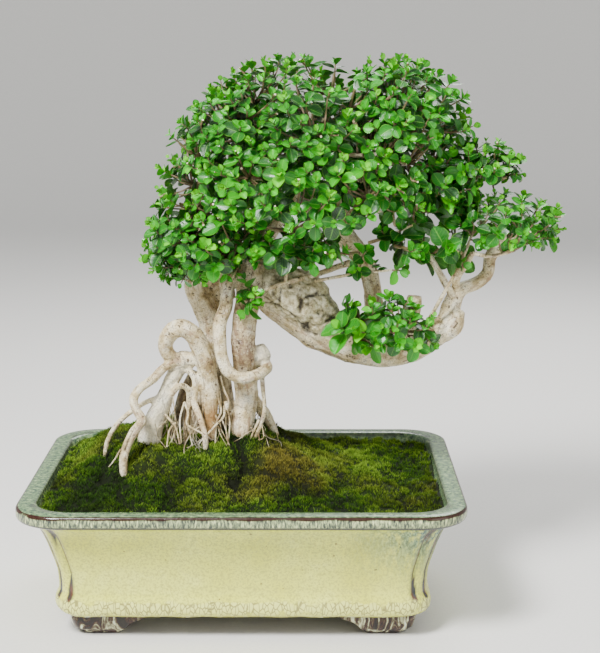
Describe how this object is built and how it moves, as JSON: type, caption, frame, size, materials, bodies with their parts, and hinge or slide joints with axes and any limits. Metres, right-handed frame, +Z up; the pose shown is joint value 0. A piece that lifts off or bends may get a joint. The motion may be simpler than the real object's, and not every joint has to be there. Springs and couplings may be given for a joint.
{
  "type": "premna bonsai",
  "caption": "Potted premna bonsai: bare looping roots, a trunk that dips to the right and rises again, a domed crown of small round leaves, mossy soil and a glazed rectangular pot on low feet.",
  "frame": {"origin": "under the middle of the whole object, at the height of the feet", "axes": "+X to the right as seen from the front, +Y to the back, +Z up"},
  "size_m": [0.378, 0.23, 0.3999],
  "materials": {
    "glaze": "gloss glaze, brown at worn edges",
    "mesh": "matte",
    "soil": "rough, damp",
    "moss": "soft, matte",
    "bark": "weathered, matte",
    "leaf": "glossy on top"
  },
  "bodies": {
    "root": {"pot": "glaze", "drain_screen_left": "mesh", "drain_screen_right": "mesh", "soil": "soil", "moss_left_front": "moss", "moss_left_back": "moss", "moss_centre_front": "moss", "moss_centre_back": "moss", "moss_mound": "moss", "moss_behind_mound": "moss", "moss_right_front": "moss", "moss_right_back": "moss", "tree_wood": "bark", "spray_01": "leaf", "spray_02": "leaf", "spray_03": "leaf", "spray_04": "leaf", "spray_05": "leaf", "spray_06": "leaf", "spray_07": "leaf", "spray_08": "leaf", "spray_09": "leaf", "spray_10": "leaf", "spray_11": "leaf", "spray_12": "leaf", "spray_13": "leaf", "spray_14": "leaf", "spray_15": "leaf", "spray_16": "leaf", "spray_17": "leaf", "spray_18": "leaf", "spray_19": "leaf", "spray_20": "leaf", "spray_21": "leaf", "spray_22": "leaf", "spray_23": "leaf", "spray_24": "leaf", "spray_25": "leaf", "spray_26": "leaf", "spray_27": "leaf", "spray_28": "leaf", "spray_29": "leaf", "spray_30": "leaf", "spray_31": "leaf", "spray_32": "leaf", "spray_33": "leaf", "spray_34": "leaf", "spray_35": "leaf", "spray_36": "leaf", "spray_37": "leaf"}
  },
  "joints": []
}
